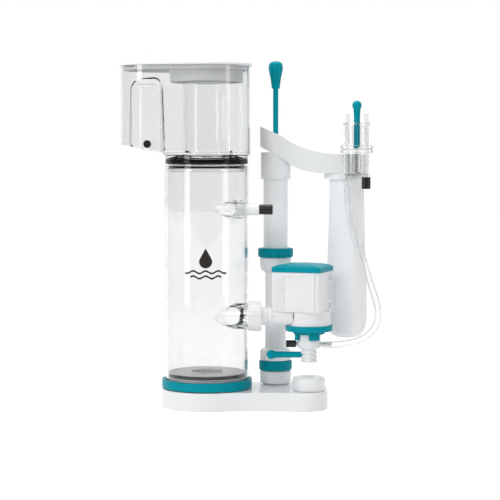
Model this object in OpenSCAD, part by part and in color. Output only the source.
// Protein skimmer for a marine aquarium: a clear reaction tube on a moulded base, a collection cup
// on top, a needle-wheel pump with a venturi, an outlet riser with a filter sock, and an air silencer.
// Millimetres. Origin on the base's underside at the tube's axis, +X towards the pump, +Z up.

/* [Body tube] */
// Outer diameter of the clear tube
tube_d = 110; // [108:1:112]
// Wall thickness of the clear tube
tube_wall = 4; // [3:0.5:5]
// Height of the tube's top rim above the floor
tube_top = 316.5; // [312:0.5:320]

/* [Base] */
// Height of the moulded base
base_h = 24; // [22:1:25]
// Distance from the tube's axis to the base's right end
base_reach = 158; // [156:1:160]
// Wall thickness of the base
base_wall = 3; // [2.5:0.5:4]

/* [Ports] */
// Height of the feed port's axis
feed_z = 260; // [240:1:270]
// Height of the pump port's axis
pump_z = 122; // [120:0.5:122]

/* [Outlet riser] */
// Riser's distance to the right of the tube's axis
riser_x = 91; // [90:0.5:92]
// Riser's distance behind the tube's axis
riser_y = 34; // [33:0.5:36]
// Outer diameter of the lower pipe
lower_pipe_d = 28.2; // [27:0.2:29]
// Outer diameter of the upper pipe
upper_pipe_d = 32.4; // [32:0.2:33]
// Height that the water-level rod can drop
level_travel = 50; // [30:5:50]

/* [Pump] */
// Pump axis's distance to the right of the tube's axis
pump_x = 133.5; // [133:0.5:135]
// Pump axis's distance in front of the tube's axis
pump_y = -28; // [-29:0.5:-27]
// Width of the motor housing
motor_w = 65; // [62:1:66]
// Depth of the motor housing
motor_d = 61; // [59:1:63]
// Pins on the impeller's needle wheel
needle_count = 18; // [8:1:24]

/* [Collection cup] */
// Outer radius of the cup round the neck
cup_r = 57.2; // [56.5:0.1:57.5]
// Height of the cup
cup_h = 112; // [105:1:120]
// Wall thickness of the cup
cup_wall = 2.2; // [2:0.1:3]
// Inner radius of the foam neck
neck_r = 28.8; // [26:0.2:30]

/* [Filter sock] */
// Radius of the sock at its mouth
sock_r = 23; // [22.5:0.1:23.2]
// Height of the sock's rounded foot above the floor
sock_foot = 86; // [80:1:110]

/* [Hidden] */
$fn = 64;
clear_gap = 0.3;
tube_r = tube_d / 2;
bore_r = tube_r - tube_wall;
riser = [riser_x, riser_y, 0];
pump = [pump_x, pump_y, 0];
motor_centre = [pump_x - 8.5, pump_y, 0];
motor_turn = -20;
motor_corner = 4;
motor_wall = 3;
cup_z = tube_top + 16.5;
cup_top = cup_z + cup_h;
lobe_r = 46;
lobe_x = 65.6;
lower_r = lower_pipe_d / 2;
upper_r = upper_pipe_d / 2;
sock_axis = [186, riser_y, 0];
silencer = [195.9, -12.5, 0];
stub_offset = 12.2;
inner_stub_r = 2.6;
stub_bore_r = 1.7;
feed_y = -42;
outlet_y = -37.6;
plug_top = 262;

// The air hose: 9 mm outside, from the silencer's lower stub to the venturi's right-hand barb
hose_r = 4.5;
hose_sides = 10;
hose_route = [
    [184, -12.5, 297.5], [184, -12.5, 289], [184.3, -12.8, 281], [185, -13, 272],
    [186.6, -13.5, 258.5], [189.4, -14, 245], [192.8, -15, 231.5], [196.8, -16, 218],
    [201, -17, 205], [205, -18, 192], [209, -19, 178.5], [213, -20, 165],
    [217.5, -21.5, 152], [221.3, -22.5, 139], [223.4, -23.5, 126.5], [222.8, -24.5, 115.5],
    [218.6, -25.3, 105.6], [211.6, -26, 97.6], [201.5, -26.6, 91.2], [189, -27.2, 87],
    [176, -27.6, 84.8], [163, -28, 84], [151, -28, 84]];

teal = [0.01, 0.56, 0.62];
white = [0.93, 0.94, 0.95];
clear = [0.85, 0.92, 0.95, 0.35];
black = [0.1, 0.1, 0.11];

// Points along an arc of radius r about c, from angle a0 to angle a1
function arc(c, r, a0, a1, n) = [for (i = [0:n])
    let (a = a0 + (a1 - a0) * i / n) [c[0] + r * cos(a), c[1] + r * sin(a)]];

// Outline of two circles joined by tangents: one about the origin, one a distance d to its left
function lobed(r1, r2, d, inset = 0) = let (t = acos((r2 - r1) / d))
    concat(arc([0, 0], r1 - inset, -t, t, 36), arc([-d, 0], r2 - inset, t, 360 - t, 24));

// Rectangle with round corners, centred on the origin
function rounded_box(w, d, r) = concat(
    arc([w / 2 - r, d / 2 - r], r, 0, 90, 8), arc([r - w / 2, d / 2 - r], r, 90, 180, 8),
    arc([r - w / 2, r - d / 2], r, 180, 270, 8), arc([w / 2 - r, r - d / 2], r, 270, 360, 8));

// Outline of the base: a disc under the tube, a waist, and a squarer foot under the pump.
// The waist's arc touches the disc, and the foot's corners touch the waist.
base_r = 60;
waist = [67, 52];
waist_r = (waist[0] * waist[0] + waist[1] * waist[1] - base_r * base_r) / (2 * (base_r - waist[1]));
waist_c = [waist[0], waist[1] + waist_r];
corner_r = 30;
corner_x = base_reach - corner_r;
corner_y = waist_c[1] - sqrt(pow(waist_r + corner_r, 2) - pow(corner_x - waist_c[0], 2));
disc_a = atan2(waist_c[1], waist_c[0]);
corner_a = atan2(waist_c[1] - corner_y, waist_c[0] - corner_x);
function base_outline(inset) = concat(
    arc([0, 0], base_r - inset, disc_a, 360 - disc_a, 40),
    arc([waist_c[0], -waist_c[1]], waist_r + inset, 180 - disc_a, 180 - corner_a, 10),
    arc([corner_x, -corner_y], corner_r - inset, -corner_a, 0, 14),
    arc([corner_x, corner_y], corner_r - inset, 0, corner_a, 14),
    arc([waist_c[0], waist_c[1]], waist_r + inset, corner_a - 180, disc_a - 180, 10));

module slab(points, z0, z1) {
    translate([0, 0, z0]) linear_extrude(z1 - z0) polygon(points);
}

module post(r, z0, z1) {
    translate([0, 0, z0]) cylinder(r = r, h = z1 - z0);
}

module ring(r_out, r_in, z0, z1) {
    difference() {
        post(r_out, z0, z1);
        post(r_in, z0 - 1, z1 + 1);
    }
}

// A rod along X, from x0 to x1, at the given y and z
module rod_x(r, x0, x1, y, z) {
    translate([x0, y, z]) rotate([0, 90, 0]) cylinder(r = r, h = x1 - x0);
}

module lathe(points) {
    rotate_extrude() polygon(points);
}

// ---- base ----

screw_places = [[-48, 16], [-48, -16], [46, 41], [52, -36], [118, 44], [148, 8], [104, -46]];
plate_top = 3;
deck = base_h - 3.5;

// The water's way through the base, from under the tube to the riser and to the spare port
module channel(grow) {
    for (end = [[riser_x, riser_y], [pump_x, pump_y]])
        hull() {
            circle(r = 21 + grow);
            translate(end) circle(r = 13.5 + grow);
        }
}

module base_shell() {
    color(white) difference() {
        union() {
            difference() {
                union() {
                    slab(base_outline(0), 0, base_h - 1.6);
                    slab(base_outline(0.7), base_h - 1.6, base_h);
                }
                slab(base_outline(base_wall), -1, deck);
            }
            translate([0, 0, plate_top + 1]) linear_extrude(deck - plate_top) difference() {
                channel(base_wall);
                channel(0);
            }
            for (p = screw_places) translate(p) post(4, plate_top, deck + 1);
            translate(pump) post(15.5, deck, base_h + 10);
        }
        post(18, deck - 1, base_h + 1);
        translate(riser) post(13.6, deck - 1, base_h + 1);
        translate(pump) post(12.5, deck - 1, base_h + 11);
        for (p = screw_places) translate(p) post(1.6, plate_top - 1, plate_top + 10);
    }
}

module base_plate() {
    color(white) difference() {
        slab(base_outline(base_wall + clear_gap), 0, plate_top);
        for (p = screw_places) translate(p) {
            post(2.2, -1, plate_top + 1);
            post(4.2, -1, 1.4);
        }
    }
}

module base_gasket() {
    color(black) translate([0, 0, plate_top]) linear_extrude(1) difference() {
        intersection() {
            channel(base_wall);
            polygon(base_outline(base_wall + clear_gap));
        }
        channel(0.5);
        for (p = screw_places) translate(p) circle(r = 4.2);
    }
}

module base_screws() {
    color("silver") for (p = screw_places) translate(p) {
        post(4, 0.3, 1.4);
        post(1.5, 1.4, plate_top + 8);
    }
}

module port_cap() {
    color(white) translate(pump) difference() {
        union() {
            post(20.4, base_h + clear_gap, base_h + 1.4);
            post(21.3, base_h + 1.4, base_h + 15);
            post(19.8, base_h + 15, base_h + 18);
        }
        post(16, base_h, base_h + 12.4);
        post(8, base_h + 16.6, base_h + 19);
    }
}

module port_seal() {
    color(black) translate(pump) ring(15.6, 12.6, base_h + 10.2, base_h + 12.4);
}

// ---- body tube ----

floor_top = base_h + 21.4;

module body_tube() {
    color(clear) difference() {
        union() {
            post(tube_r, base_h + clear_gap, tube_top);
            post(tube_r + 2, base_h + clear_gap, base_h + 4);
        }
        post(bore_r, base_h - 1, tube_top + 1);
        rod_x(8, 5, tube_r + 5, feed_y, feed_z);
        rod_x(12, 5, tube_r + 5, outlet_y, pump_z);
    }
}

module floor_disc() {
    color([0.78, 0.79, 0.8]) lathe([[17.5, base_h], [bore_r - 0.4, base_h],
        [bore_r - 0.4, base_h + 16], [bore_r - 3.5, base_h + 16], [bore_r - 3.5, base_h + 20.3],
        [bore_r - 0.4, base_h + 20.3], [bore_r - 0.4, floor_top], [22, floor_top],
        [21, floor_top + 0.8], [20, floor_top + 0.8], [18, floor_top - 2], [17.5, floor_top - 3]]);
}

module floor_seal() {
    color(black) ring(bore_r - 0.05, bore_r - 3.4, base_h + 16.2, base_h + 20.1);
}

// Turned by the grip at its front right; its step holds the tube's foot down
module body_ring() {
    color(teal) difference() {
        union() {
            post(tube_r + 4.3, base_h + 1.3, base_h + 12.5);
            intersection() {
                post(tube_r + 5, base_h + 0.7, base_h + 12);
                translate([28, -60, 0]) cube([20, 30, 60]);
            }
        }
        post(tube_r + 0.4, base_h - 1, base_h + 14);
        post(tube_r + 2.4, base_h - 1, base_h + 4.4);
    }
}

// ---- feed port ----

module feed_nozzle() {
    color(clear) difference() {
        union() {
            rod_x(12, 8, 48, feed_y, feed_z);
            rod_x(10.8, 47, 51, feed_y, feed_z);
        }
        post(tube_r + 0.05, feed_z - 20, feed_z + 20);
        rod_x(7.8, 0, 52, feed_y, feed_z);
    }
}

module feed_sleeve() {
    color(white) difference() {
        union() {
            rod_x(7.7, 40, 68.4, feed_y, feed_z);
            rod_x(4.6, 68, 82, feed_y, feed_z);
        }
        rod_x(2.8, 39, 83, feed_y, feed_z);
    }
}

module feed_cap() {
    color(black) difference() {
        rod_x(6.5, 68.7, 86, feed_y, feed_z);
        rod_x(4.9, 68, 83.5, feed_y, feed_z);
    }
}

// ---- pump port: nozzle on the tube, nut, and tail on the pump ----

nut_x = 54.5;
seal_x = 62;

module pump_nozzle() {
    color(clear) difference() {
        rod_x(16.6, 5, seal_x, outlet_y, pump_z);
        post(tube_r + 0.05, pump_z - 20, pump_z + 20);
        rod_x(12, 0, seal_x + 1, outlet_y, pump_z);
    }
}

module union_seal() {
    color(black) difference() {
        rod_x(15.6, seal_x, seal_x + 2, outlet_y, pump_z);
        rod_x(12.4, seal_x - 1, seal_x + 3, outlet_y, pump_z);
    }
}

module pump_union_nut() {
    color(white) difference() {
        union() {
            rod_x(18.6, nut_x, nut_x + 17.2, outlet_y, pump_z);
            rod_x(19.6, nut_x + 1, nut_x + 15.5, outlet_y, pump_z);
        }
        rod_x(16.95, nut_x - 1, seal_x + 5.3, outlet_y, pump_z);
        rod_x(12.2, nut_x, nut_x + 20, outlet_y, pump_z);
    }
}

module pump_union_tail() {
    color(white) difference() {
        union() {
            rod_x(15.8, seal_x + 2, seal_x + 5, outlet_y, pump_z);
            rod_x(11.85, seal_x + 2, 85, outlet_y, pump_z);
            rod_x(13.4, 81.5, 85, outlet_y, pump_z);
        }
        rod_x(9.6, seal_x, 86, outlet_y, pump_z);
    }
}

// ---- pump ----

volute_z = 109.5;
motor_z = 128.6;
motor_top = 179.6;
venturi_flange = volute_z - 1.1;

module volute() {
    color(white) difference() {
        union() {
            translate(pump) post(28.7, volute_z, motor_z);
            intersection() {
                rod_x(11.85, 85, 112, outlet_y, pump_z);
                translate([80, outlet_y - 20, 100]) cube([60, 40, 40]);
            }
        }
        translate(pump) post(25.9, volute_z - 1, motor_z - 3);
        translate(pump) post(12.4, motor_z - 4, motor_z + 1);
        rod_x(9.6, 84, 118, outlet_y, pump_z);
    }
}

module volute_seal() {
    color(black) translate(pump) ring(28.5, 26, volute_z - 1.1, volute_z);
}

module volute_cover() {
    color(teal) translate(pump) {
        difference() {
            union() {
                post(30.7, volute_z - 7.6, volute_z + 0.3);
                post(20.4, volute_z - 11.5, volute_z - 7);
            }
            post(15.6, volute_z - 12, volute_z + 2);
            post(29, volute_z - 1.3, volute_z + 2);
        }
        for (grip = [[200, 18], [268, 44]]) rotate(grip[0]) rotate_extrude(angle = grip[1])
            polygon([[16.2, volute_z - 18.9], [19.8, volute_z - 18.9], [20.4, volute_z - 11],
                [16.2, volute_z - 11]]);
    }
}

barb_z = 84.5;

module venturi_body() {
    color(white) difference() {
        union() {
            translate(pump) {
                post(25.6, venturi_flange, venturi_flange + 2.4);
                post(15.2, 80.3, venturi_flange + 1);
                translate([0, 0, 78]) cylinder(r1 = 10.9, r2 = 15.2, h = 2.3);
                post(9.3, 61.5, 78.5);
                for (z = [61.5, 67, 72.6]) translate([0, 0, z]) cylinder(r1 = 11.2, r2 = 9.3, h = 4);
            }
            rod_x(3, 106, pump_x - 14, pump_y, barb_z + 0.5);
            rod_x(2.65, pump_x + 14, 163, pump_y, barb_z - 0.5);
            rod_x(3.6, pump_x + 14, 149.5, pump_y, barb_z - 0.5);
        }
        difference() {
            translate(pump) {
                post(7, 60, 82);
                post(12.4, 81.5, venturi_flange + 4);
            }
            translate(pump) {
                for (a = [90, 210, 330]) rotate(a) translate([0, -1, 104]) cube([13, 2, 3]);
                post(5, 104, 109);
            }
        }
        translate(pump) post(3.45, 103, 110);
        rod_x(1.5, 105, pump_x, pump_y, barb_z + 0.5);
        rod_x(1.5, pump_x, 164, pump_y, barb_z - 0.5);
        rod_x(4.3, pump_x - 13, pump_x, pump_y, 70.8);
    }
}

module venturi_cap() {
    color(black) difference() {
        rod_x(4.6, 103.6, 116.5, pump_y, barb_z + 0.5);
        rod_x(3.3, 105.6, 117, pump_y, barb_z + 0.5);
    }
}

// Half outline of a valve needle along +Z: a ball at the origin, a rod, and a cone at its end
function needle(ball_r, rod_r, rod_end, tip_r, tip_end) = let (a = asin(rod_r / ball_r))
    concat([[0, -ball_r]], arc([0, 0], ball_r, -75, 90 - a, 14),
        [[rod_r, rod_end], [tip_r, tip_end], [0, tip_end]]);

module intake_needle() {
    color(teal) translate([84.4, pump_y, 70.8]) rotate([0, 90, 0])
        lathe(needle(6, 4, 42.6, 1.2, 46.6));
}

module impeller() {
    color(white) translate(pump) difference() {
        union() {
            post(20, 121.2, 123.4);
            post(6, 113, 127);
            for (i = [0:needle_count - 1]) rotate(i * 360 / needle_count)
                translate([i % 2 == 0 ? 17.5 : 12.5, 0, 0]) post(0.9, 113.4, 122);
        }
        post(2.05, 112, 128);
    }
}

module rotor_magnet() {
    color([0.25, 0.25, 0.27]) translate(pump) ring(11, 2.05, 127, 165);
}

module impeller_shaft() {
    color([0.9, 0.9, 0.88]) translate(pump) post(2, 105, 169.5);
}

module shaft_bushes() {
    color(black) translate(pump) {
        ring(3.4, 2.02, 104.5, 111.5);
        ring(3.4, 2.02, 166, 169.5);
    }
}

module at_motor() {
    translate(motor_centre) rotate(motor_turn) children();
}

// The housing is a box with a well for the rotor and a saddle over the pump's outlet
module motor_housing() {
    color(white) difference() {
        union() {
            difference() {
                at_motor() slab(rounded_box(motor_w, motor_d, motor_corner), motor_z, motor_top);
                at_motor() slab(rounded_box(motor_w - 2 * motor_wall, motor_d - 2 * motor_wall, 2),
                    motor_z + 2.5, motor_top + 1);
                for (z = [motor_z + 2.6, motor_top - 12.3]) at_motor()
                    translate([motor_w / 2 - 4, 6.5, z]) cube([6, 17, 7.6]);
                for (i = [0:5]) at_motor()
                    translate([motor_w / 2 - 1.2, 1, motor_z + 15 + i * 3.5]) cube([4, 21, 1.4]);
            }
            translate(pump) post(14, motor_z, 171.5);
            intersection() {
                rod_x(14.6, 70, pump_x, outlet_y, pump_z);
                at_motor() slab(rounded_box(motor_w - 5, motor_d - 5, 2), motor_z, motor_top);
            }
        }
        translate(pump) post(12, motor_z - 1, 166);
        translate(pump) post(3.45, 165, 169.6);
        rod_x(12.1, 70, pump_x - 15, outlet_y, pump_z);
        at_motor() translate([4, -motor_d / 2, motor_z - 7.6]) rotate([90, 0, 0])
            cylinder(r = 13.5, h = 3.6, center = true);
        at_motor() translate([-15, -motor_d / 2 - 1, motor_z + 1.4]) cube([38.5, 1.8, 45]);
        at_motor() translate([0, motor_d / 2 + 1, 156]) rotate([90, 0, 0]) cylinder(r = 4.6, h = 6);
    }
}

module cable_gland() {
    color(black) at_motor() translate([0, motor_d / 2, 156]) rotate([90, 0, 0]) difference() {
        union() {
            translate([0, 0, -5]) cylinder(r = 6.5, h = 4.9);
            translate([0, 0, -1]) cylinder(r = 4.5, h = 6);
        }
        translate([0, 0, -6]) cylinder(r = 2.6, h = 9);
    }
}

// A U of laminations inside the housing: a yoke and two legs that reach past the rotor's well
leg_y = [-14.5, 20.3];

module stator_core() {
    color([0.45, 0.45, 0.48]) at_motor() difference() {
        translate([-27, leg_y[0] - 3, 140]) cube([48, leg_y[1] - leg_y[0] + 6, 20]);
        translate([-21, leg_y[0] + 3, 139]) cube([50, leg_y[1] - leg_y[0] - 6, 22]);
    }
}

// One coil round each leg, between the yoke and the well
module stator_coils() {
    color([0.72, 0.42, 0.2]) at_motor() for (y = leg_y) difference() {
        translate([-20.5, y - 6, 137.2]) cube([12.5, 12, 25.6]);
        translate([-21, y - 3.2, 139.8]) cube([14, 6.4, 20.4]);
    }
}

module motor_cover() {
    color(teal) at_motor() {
        slab(rounded_box(motor_w + 1.2, motor_d + 1.2, motor_corner + 0.6), motor_top, motor_top + 6.3);
        hull() {
            slab(rounded_box(motor_w + 1.2, motor_d + 1.2, motor_corner + 0.6), motor_top + 6,
                motor_top + 6.3);
            slab(rounded_box(motor_w - 26, motor_d - 26, 4), motor_top + 10.5, motor_top + 11);
        }
    }
}

// ---- outlet riser ----

module riser_socket() {
    color(white) translate(riser) difference() {
        union() {
            post(13.4, deck, base_h + 1);
            post(16.6, base_h, base_h + 2.5);
            post(20.8, base_h + 2, 41.5);
            post(18.8, 41, 48);
        }
        post(11.5, deck - 1, 49);
    }
}

// A union's loose ring: a thread below and a lip above that draws the collar down
module union_ring(r, z0, z1, lip_r) {
    color(teal) translate(riser) difference() {
        post(r, z0, z1);
        post(19.4, z0 - 1, z1 - 2.5);
        post(lip_r, z1 - 3, z1 + 1);
    }
}

module lower_union_ring() {
    union_ring(22, 43, 56, 15.9);
}

module upper_union_ring() {
    union_ring(23.5, 194.3, 206.5, upper_r + 0.4);
}

module lower_collar() {
    color(white) translate(riser) difference() {
        union() {
            post(20.8, 56.4, 70.5);
            post(19, 56.4, 72.4);
            post(15.5, 49.5, 57);
            post(18.9, 49.5, 53);
        }
        post(lower_r + 0.05, 52, 74);
        post(11.5, 49, 53);
    }
}

module lower_pipe() {
    color(white) translate(riser) ring(lower_r, lower_r - 2, 52.1, 185.9);
}

// The collar over the pipe carries the conical seat that the level rod's plug closes
module upper_collar() {
    color(white) translate(riser) difference() {
        union() {
            translate([0, 0, 175]) cylinder(r1 = 17.5, r2 = 20.7, h = 4);
            post(20.7, 179, 194);
            post(18.9, 193, 199.5);
        }
        post(lower_r + 0.05, 174, 186);
        post(9.5, 180, 200);
        translate([0, 0, 192.5]) cylinder(r1 = 9.5, r2 = 14.2, h = 8);
    }
}

module upper_pipe() {
    color(white) translate(riser) {
        ring(18.9, upper_r - 2, 201, 203.8);
        ring(upper_r, upper_r - 2, 203, 312);
    }
}

module pipe_seals() {
    color(black) translate(riser) {
        ring(17.5, 14, 48, 49.5);
        ring(17.5, 14.8, 199.5, 201);
    }
}

module gate_plug() {
    color(black) translate(riser) difference() {
        union() {
            translate([0, 0, plug_top - 15]) cylinder(r1 = 8.6, r2 = 13.2, h = 7.6);
            post(13.2, plug_top - 7.4, plug_top - 3);
            translate([0, 0, plug_top - 3]) cylinder(r1 = 13.2, r2 = 9, h = 3);
        }
        post(3.52, plug_top - 10, plug_top + 1);
    }
}

module level_rod() {
    color(teal) translate(riser) post(3.5, plug_top - 10, 426);
}

module level_handle() {
    color(teal) translate(riser) lathe([[3.52, 418.5], [5.5, 418.5], [5.9, 424], [7.2, 433],
        [8.7, 440], [9.4, 444.5], [9.3, 448.5], [7.8, 452], [5, 454], [2, 454.6], [0, 454.6],
        [0, 426.1], [3.52, 426.1]]);
}

// Side view of the arm's swoosh, drawn in X and Z
arm_top = [[70.2, 368.5], [82, 362.5], [94.2, 357], [105, 350.5], [115.8, 344.7], [126, 340.2],
    [137.5, 336.6], [148, 334.2], [159.2, 332.4], [173.7, 331.3], [220, 331.3]];
arm_bottom = [[220, 306.4], [156.4, 306.4], [144.7, 307], [130.2, 309.8], [120, 313.3],
    [111.5, 317], [101.4, 324.4], [91, 331], [70.2, 341.5]];
arm_end_r = 29;
arm_foot_r = 20.8;

module arm_plan(inset) {
    hull() {
        translate([riser_x, riser_y]) circle(r = arm_foot_r - inset);
        translate([sock_axis[0], sock_axis[1]]) circle(r = arm_end_r - inset);
    }
}

module arm_side(lift) {
    translate([0, riser_y + 40, lift]) rotate([90, 0, 0]) linear_extrude(80)
        polygon(concat(arm_top, arm_bottom));
}

module outlet_arm() {
    color(white) difference() {
        union() {
            intersection() {
                translate([0, 0, 290]) linear_extrude(90) arm_plan(0);
                arm_side(0);
            }
            translate(riser) post(19.9, 298.3, 334);
            translate(sock_axis) post(20, 290, 308);
        }
        intersection() {
            translate([0, 0, 290]) linear_extrude(90) arm_plan(2.5);
            arm_side(-2.8);
            arm_side(2.8);
        }
        translate(riser) post(upper_r + 0.05, 297, 312);
        translate(riser) post(upper_r - 2, 297, 340);
        translate(sock_axis) post(17.6, 289, 312);
        translate(riser) post(3.85, 340, 370);
    }
}

module sock_collar() {
    color(white) translate(sock_axis) ring(30.3, sock_r + 0.6, 298.4, 306.4);
}

module filter_sock() {
    color([0.95, 0.96, 0.97]) translate(sock_axis) lathe([
        [sock_r, 306], [sock_r, 285], [24.2, 250], [25.6, 210], [26.8, 170], [27.6, 140],
        [28, 116], [27.2, 104], [24, 94.5], [18.5, sock_foot + 3.4], [10, sock_foot + 0.6],
        [0, sock_foot], [0, sock_foot + 1.6], [10, sock_foot + 2.2], [17.8, sock_foot + 5],
        [23, 95.8], [25.6, 104.6], [26.4, 116], [26, 140], [25.2, 170], [24, 210], [22.6, 250],
        [sock_r - 1.6, 285], [sock_r - 1.6, 306]]);
}

// ---- air silencer ----

module silencer_bottom() {
    color(clear) translate(silencer) difference() {
        union() {
            post(16.9, 303, 334);
            post(21.3, 333, 337.2);
            translate([-stub_offset + 0.3, 0, 0]) post(inner_stub_r, 288, 304);
            translate([stub_offset, 0, 0]) post(inner_stub_r, 289, 304);
        }
        difference() {
            post(15.2, 305.5, 340);
            post(5.2, 305, 331.5);
            translate([-8, 12, 304]) cube([16, 4, 20]);
        }
        post(3.4, 308, 340);
        translate([0, 0, 311]) rotate([90, 0, 0]) cylinder(r = 1.6, h = 12, center = true);
        translate([-stub_offset + 0.3, 0, 0]) post(stub_bore_r, 287, 306);
        translate([stub_offset, 0, 0]) post(stub_bore_r, 288, 306);
    }
}

module silencer_seal() {
    color([0.75, 0.76, 0.77]) translate(silencer) ring(19.5, 16.2, 337.2, 338.2);
}

module silencer_top() {
    color(clear) translate(silencer) difference() {
        union() {
            post(17.5, 342, 372);
            post(21.3, 338.2, 342.4);
        }
        post(15.8, 337, 369.6);
        post(4.35, 369, 373);
        for (side = [-1, 1]) translate([side * stub_offset, 0, 0])
            post(inner_stub_r + 0.1, 369, 373);
    }
}

module air_stubs() {
    color(clear) translate(silencer) for (side = [-1, 1])
        translate([side * stub_offset, 0, 0]) {
            ring(inner_stub_r, stub_bore_r, 345, 372);
            ring(3, stub_bore_r, 372, 384);
        }
}

module air_needle() {
    color(teal) translate(silencer + [0, 0, 394.6]) mirror([0, 0, 1])
        lathe(needle(6.15, 4.05, 53.1, 0.8, 58.9));
}

module silencer_cap() {
    color(black) translate(silencer) translate([stub_offset, 0, 0]) difference() {
        post(5.85, 286, 301.4);
        post(inner_stub_r + 0.3, 288.2, 302);
    }
}

// ---- air hose ----

function unit(v) = v / norm(v);
function heading(i) = unit(hose_route[min(i + 1, len(hose_route) - 1)] - hose_route[max(i - 1, 0)]);
function hose_ring(i) = let (t = heading(i), u = unit(cross(t, [0, 1, 0])), v = cross(t, u))
    [for (k = [0:hose_sides - 1]) let (a = 360 * k / hose_sides)
        hose_route[i] + hose_r * (cos(a) * u + sin(a) * v)];

module air_hose() {
    rings = len(hose_route);
    last = (rings - 1) * hose_sides;
    walls = [for (i = [0:rings - 2], k = [0:hose_sides - 1])
        let (a = i * hose_sides, n = (k + 1) % hose_sides)
            [a + k, a + n, a + hose_sides + n, a + hose_sides + k]];
    start_face = [for (k = [hose_sides - 1:-1:0]) k];
    end_face = [for (k = [0:hose_sides - 1]) last + k];
    color(clear) polyhedron([for (i = [0:rings - 1]) each hose_ring(i)],
        concat(walls, [start_face, end_face]));
}

// ---- collection cup ----

module cup_collar() {
    color(clear) lathe([[bore_r - 0.5, tube_top - 8.5], [bore_r - 0.5, tube_top - 4.2],
        [bore_r - 2.6, tube_top - 4.2], [bore_r - 2.6, tube_top - 1], [bore_r - 0.5, tube_top - 1],
        [bore_r - 0.5, cup_z - 8.8], [54.5, cup_z - 8.8], [54.5, cup_z - 3], [cup_r, cup_z - 3],
        [cup_r, cup_z], [neck_r, cup_z], [neck_r, cup_z - 2.5], [neck_r + 1, cup_z - 4],
        [bore_r - 6, cup_z - 9], [bore_r - 5.2, cup_z - 11], [bore_r - 5.2, tube_top - 8.5]]);
}

module cup_seals() {
    color(black) {
        ring(54.3, bore_r - 0.45, tube_top + 0.4, cup_z - 8.8);
        ring(bore_r - 0.3, bore_r - 2.5, tube_top - 4, tube_top - 1.2);
    }
}

// Slope under the cup's lobe, drawn in X and Z
module lobe_slope(rise) {
    translate([0, 70, rise]) rotate([90, 0, 0]) linear_extrude(140)
        polygon([[-130, cup_z - 12], [-130, cup_z + 13.4], [-111.6, cup_z + 10.8],
            [-58, cup_z + 0.01], [-58, cup_z - 12]]);
}

// The hollow in the cup's front that the drain stands in: a tapered arch with round shoulders
module drain_hollow(grow, back_y) {
    arch_top = cup_z + 94.7 + grow;
    left = -98.4 - grow;
    right = -56 + grow;
    shoulder = 10 + grow;
    translate([0, back_y, 0]) rotate([90, 0, 0]) linear_extrude(60)
        polygon(concat([[left - 2.5, cup_z - 15], [right + 3.5, cup_z - 15]],
            arc([right - shoulder, arch_top - shoulder], shoulder, 0, 90, 8),
            arc([left + shoulder, arch_top - shoulder], shoulder, 90, 180, 8)));
}

drain = [-75.2, -30, cup_z + 11];

module collection_cup() {
    color(clear) difference() {
        union() {
            difference() {
                slab(lobed(cup_r, lobe_r, lobe_x), cup_z, cup_top);
                lobe_slope(0);
                drain_hollow(0, drain[1]);
                difference() {
                    slab(lobed(cup_r, lobe_r, lobe_x, cup_wall), cup_z + cup_wall, cup_top + 1);
                    lobe_slope(cup_wall);
                    drain_hollow(cup_wall, drain[1] + cup_wall);
                }
                post(neck_r, cup_z - 1, cup_z + 4);
            }
            translate(drain) rotate([90, 0, 0]) cylinder(r = 7.1, h = 5);
            translate(drain) rotate([90, 0, 0]) cylinder(r = 3.2, h = 11);
        }
        translate(drain + [0, 5, 0]) rotate([90, 0, 0]) cylinder(r = 1.9, h = 20);
    }
}

module foam_neck() {
    color(clear) ring(neck_r + 2, neck_r, cup_z + cup_wall, cup_z + 90);
}

module drain_cap() {
    color(black) translate(drain) rotate([90, 0, 0]) difference() {
        translate([0, 0, 5.3]) cylinder(r = 5, h = 8);
        translate([0, 0, 5]) cylinder(r = 3.5, h = 6.3);
    }
}

// Lid with a lip inside the cup's rim and a skirt that hangs over the foam neck
module lid() {
    lid_z = cup_top + 0.4;
    color([0.86, 0.87, 0.88]) {
        slab(lobed(cup_r + 2, lobe_r + 2.1, lobe_x), lid_z, lid_z + 3.6);
        difference() {
            slab(lobed(cup_r, lobe_r, lobe_x, cup_wall + 0.4), lid_z - 5.4, lid_z + 1);
            slab(lobed(cup_r, lobe_r, lobe_x, cup_wall + 2.4), lid_z - 6, lid_z + 0.5);
        }
        ring(47.7, 45.7, lid_z - 20.7, lid_z + 1);
    }
}

base_shell();
base_plate();
base_gasket();
base_screws();
body_tube();
floor_disc();
floor_seal();
body_ring();
feed_nozzle();
feed_sleeve();
feed_cap();
pump_nozzle();
union_seal();
pump_union_nut();
pump_union_tail();
volute();
volute_seal();
volute_cover();
venturi_body();
venturi_cap();
intake_needle();
impeller();
rotor_magnet();
impeller_shaft();
shaft_bushes();
motor_housing();
stator_core();
stator_coils();
motor_cover();
cable_gland();
riser_socket();
lower_union_ring();
lower_collar();
lower_pipe();
upper_collar();
upper_union_ring();
upper_pipe();
pipe_seals();
level_rod();
level_handle();
gate_plug();
outlet_arm();
sock_collar();
filter_sock();
silencer_bottom();
silencer_seal();
silencer_top();
air_stubs();
air_needle();
silencer_cap();
air_hose();
cup_collar();
cup_seals();
collection_cup();
foam_neck();
drain_cap();
lid();
port_cap();
port_seal();
